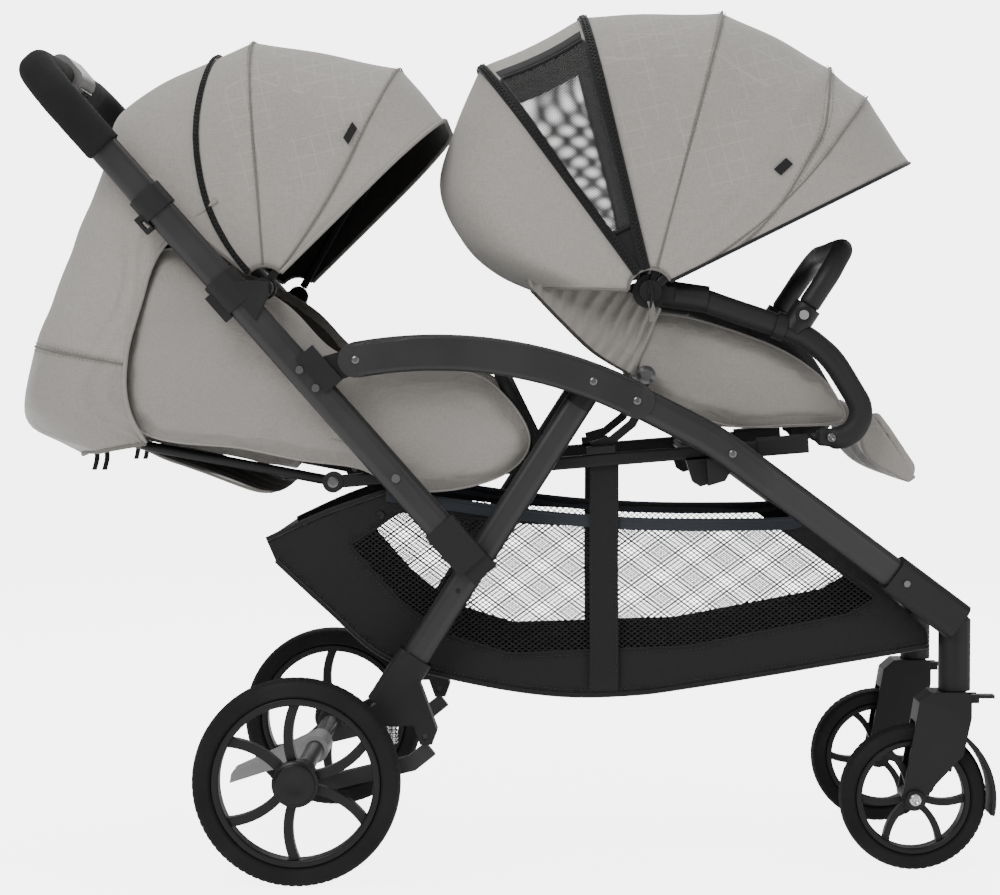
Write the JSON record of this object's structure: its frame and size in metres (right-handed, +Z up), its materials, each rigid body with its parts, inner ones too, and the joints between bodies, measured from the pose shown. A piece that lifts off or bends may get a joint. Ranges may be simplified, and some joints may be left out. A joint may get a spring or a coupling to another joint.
{
  "type": "double stroller",
  "caption": "Folding tandem double stroller: U handle, side arms, crossing legs, sprung rear wheels, front castors, canopied reclining seats in line, and a mesh basket.",
  "frame": {"origin": "on the ground, in the middle of the footprint", "axes": "+X forward, +Y the child's left, +Z up"},
  "size_m": [1.1594, 0.6042, 1.0248],
  "materials": {
    "frame_metal": "satin charcoal lacquer on aluminium tube",
    "black_plastic": "fine-grained moulded black nylon",
    "grey_plastic": "fine-grained moulded dark grey nylon",
    "pedal_plastic": "moulded grey nylon",
    "foam": "closed-cell foam, matt",
    "steel": "polished steel rivet and trim",
    "grey_fabric": "light grey melange woven cloth",
    "black_fabric": "black polyester cloth and open mesh",
    "tyre": "matt black tyre",
    "rim_plastic": "moulded black nylon"
  },
  "bodies": {
    "chassis": {"side_arms": "frame_metal", "front_legs": "frame_metal", "front_elbows": "black_plastic", "front_cross_tube": "frame_metal", "mid_rails": "black_plastic", "rail_pods": "black_plastic", "seat_cross_bars": "black_plastic", "frame_rivets": "steel", "front_side_bars": "black_fabric", "bumper_sockets": "black_plastic", "front_seat": "grey_fabric", "front_canopy_mounts": "black_plastic", "front_canopy": "grey_fabric", "rear_seat": "grey_fabric", "rear_bumper_bar": "black_fabric", "harnesses": "black_fabric", "basket": "black_fabric"},
    "push_bar": {"handle_tube": "frame_metal", "handle_grips": "foam", "trigger_housing": "grey_plastic", "push_tubes": "frame_metal", "upper_collars": "black_plastic", "lower_collars": "black_plastic", "arm_knuckles": "black_plastic", "lock_brackets": "black_plastic", "push_rivets": "steel", "rear_canopy": "grey_fabric", "back_flap": "grey_fabric"},
    "fold_trigger": {"fold_trigger": "steel"},
    "rear_legs": {"rear_legs": "frame_metal", "rear_leg_caps": "black_plastic", "axle_housings": "black_plastic", "suspension_springs": "steel"},
    "axle_unit": {"rear_axle": "frame_metal"},
    "brake_pedal": {"brake_pedal": "pedal_plastic"},
    "rear_wheel_right": {"rear_tyre_right": "tyre", "rear_rim_right": "rim_plastic", "rear_hub_cap_right": "rim_plastic"},
    "rear_wheel_left": {"rear_tyre_left": "tyre", "rear_rim_left": "rim_plastic", "rear_hub_cap_left": "rim_plastic"},
    "castor_right": {"castor_fork_right": "black_plastic"},
    "castor_left": {"castor_fork_left": "black_plastic"},
    "front_wheel_right": {"front_tyre_right": "tyre", "front_rim_right": "rim_plastic"},
    "front_wheel_left": {"front_tyre_left": "tyre", "front_rim_left": "rim_plastic"},
    "swivel_lock_right": {"swivel_lock_right": "black_plastic"},
    "swivel_lock_left": {"swivel_lock_left": "black_plastic"},
    "bumper_bar": {"front_bumper_bar": "black_fabric"},
    "bumper_button_right": {"bumper_button_right": "steel"},
    "bumper_button_left": {"bumper_button_left": "steel"},
    "front_backrest": {"front_seat_back": "grey_fabric"},
    "calf_rest": {"front_calf_rest": "grey_fabric"},
    "rear_backrest": {"rear_seat_back": "grey_fabric", "rear_back_frame": "black_plastic"},
    "front_canopy_bow": {"front_canopy_bow": "black_plastic"},
    "front_canopy_mid_bow": {"front_canopy_mid_bow": "black_plastic"},
    "rear_canopy_bow": {"rear_canopy_bow": "black_plastic"}
  },
  "joints": [
    {"name": "frame_fold", "type": "hinge", "parent": "chassis", "child": "push_bar", "pos_m": [-0.171, 0, 0.604], "axis": [0, 1, 0], "range_deg": [0, 124], "deforming": ["front_canopy", "front_canopy_bow", "front_canopy_mid_bow", "rear_canopy", "rear_canopy_bow", "back_flap"]},
    {"name": "rear_leg_fold", "type": "hinge", "parent": "chassis", "child": "rear_legs", "pos_m": [0.10274, 0, 0.57926], "axis": [0, -1, 0], "range_deg": [0, 62]},
    {"name": "rear_suspension", "type": "hinge", "parent": "rear_legs", "child": "axle_unit", "pos_m": [-0.092, 0, 0.166], "axis": [0, 1, 0], "range_deg": [0, 4], "stiffness_Nm_per_rad": 80, "springref_deg": -17.19, "deforming": ["suspension_springs"]},
    {"name": "rear_wheel_right_spin", "type": "hinge", "parent": "axle_unit", "child": "rear_wheel_right", "pos_m": [-0.238, -0.28, 0.12], "axis": [0, 1, 0], "continuous": true},
    {"name": "rear_wheel_left_spin", "type": "hinge", "parent": "axle_unit", "child": "rear_wheel_left", "pos_m": [-0.238, 0.28, 0.12], "axis": [0, 1, 0], "continuous": true},
    {"name": "brake_press", "type": "hinge", "parent": "axle_unit", "child": "brake_pedal", "pos_m": [-0.238, 0, 0.12], "axis": [0, -1, 0], "range_deg": [0, 16], "stiffness_Nm_per_rad": 1.5, "springref_deg": -20.05},
    {"name": "castor_right_swivel", "type": "hinge", "parent": "chassis", "child": "castor_right", "pos_m": [0.532, -0.166, 0.2127], "axis": [0, 0, 1], "continuous": true},
    {"name": "front_wheel_right_spin", "type": "hinge", "parent": "castor_right", "child": "front_wheel_right", "pos_m": [0.483, -0.166, 0.0865], "axis": [0, 1, 0], "continuous": true},
    {"name": "swivel_lock_right_lift", "type": "hinge", "parent": "castor_right", "child": "swivel_lock_right", "pos_m": [0.555, -0.166, 0.2037], "axis": [0, -1, 0], "range_deg": [0, 35]},
    {"name": "castor_left_swivel", "type": "hinge", "parent": "chassis", "child": "castor_left", "pos_m": [0.532, 0.166, 0.2127], "axis": [0, 0, 1], "continuous": true},
    {"name": "front_wheel_left_spin", "type": "hinge", "parent": "castor_left", "child": "front_wheel_left", "pos_m": [0.483, 0.166, 0.0865], "axis": [0, 1, 0], "continuous": true},
    {"name": "swivel_lock_left_lift", "type": "hinge", "parent": "castor_left", "child": "swivel_lock_left", "pos_m": [0.555, 0.166, 0.2037], "axis": [0, -1, 0], "range_deg": [0, 35]},
    {"name": "fold_trigger_squeeze", "type": "slide", "parent": "push_bar", "child": "fold_trigger", "axis": [-0.6628, 0, 0.7488], "range_m": [0, 0.005], "stiffness_N_per_m": 600, "springref_m": -0.01},
    {"name": "bumper_bar_pull", "type": "slide", "parent": "chassis", "child": "bumper_bar", "axis": [0.5446, 0, 0.8387], "range_m": [0, 0.04]},
    {"name": "bumper_button_right_press", "type": "slide", "parent": "chassis", "child": "bumper_button_right", "axis": [0, 1, 0], "range_m": [0, 0.003], "stiffness_N_per_m": 500, "springref_m": -0.004},
    {"name": "bumper_button_left_press", "type": "slide", "parent": "chassis", "child": "bumper_button_left", "axis": [0, -1, 0], "range_m": [0, 0.003], "stiffness_N_per_m": 500, "springref_m": -0.004},
    {"name": "front_backrest_recline", "type": "hinge", "parent": "chassis", "child": "front_backrest", "pos_m": [0.166, 0, 0.586], "axis": [0, 1, 0], "range_deg": [0, 26]},
    {"name": "calf_rest_lift", "type": "hinge", "parent": "chassis", "child": "calf_rest", "pos_m": [0.433, 0, 0.543], "axis": [0, -1, 0], "range_deg": [0, 55]},
    {"name": "rear_backrest_recline", "type": "hinge", "parent": "chassis", "child": "rear_backrest", "pos_m": [-0.202, 0, 0.46], "axis": [0, 1, 0], "range_deg": [0, 50]},
    {"name": "front_canopy_fold", "type": "hinge", "parent": "chassis", "child": "front_canopy_bow", "pos_m": [0.17, 0, 0.684], "axis": [0, -1, 0], "range_deg": [0, 75], "deforming": ["front_canopy"]},
    {"name": "front_canopy_mid_fold", "type": "hinge", "parent": "chassis", "child": "front_canopy_mid_bow", "pos_m": [0.17, 0, 0.684], "axis": [0, -1, 0], "range_deg": [0, 48], "deforming": ["front_canopy"]},
    {"name": "rear_canopy_fold", "type": "hinge", "parent": "push_bar", "child": "rear_canopy_bow", "pos_m": [-0.27914, 0, 0.68722], "axis": [0, -1, 0], "range_deg": [0, 62], "deforming": ["rear_canopy"]}
  ],
  "couplings": [
    {"joint": "rear_leg_fold", "follows": "frame_fold", "ratio": 0.5},
    {"joint": "front_canopy_mid_fold", "follows": "front_canopy_fold", "ratio": 0.6}
  ]
}
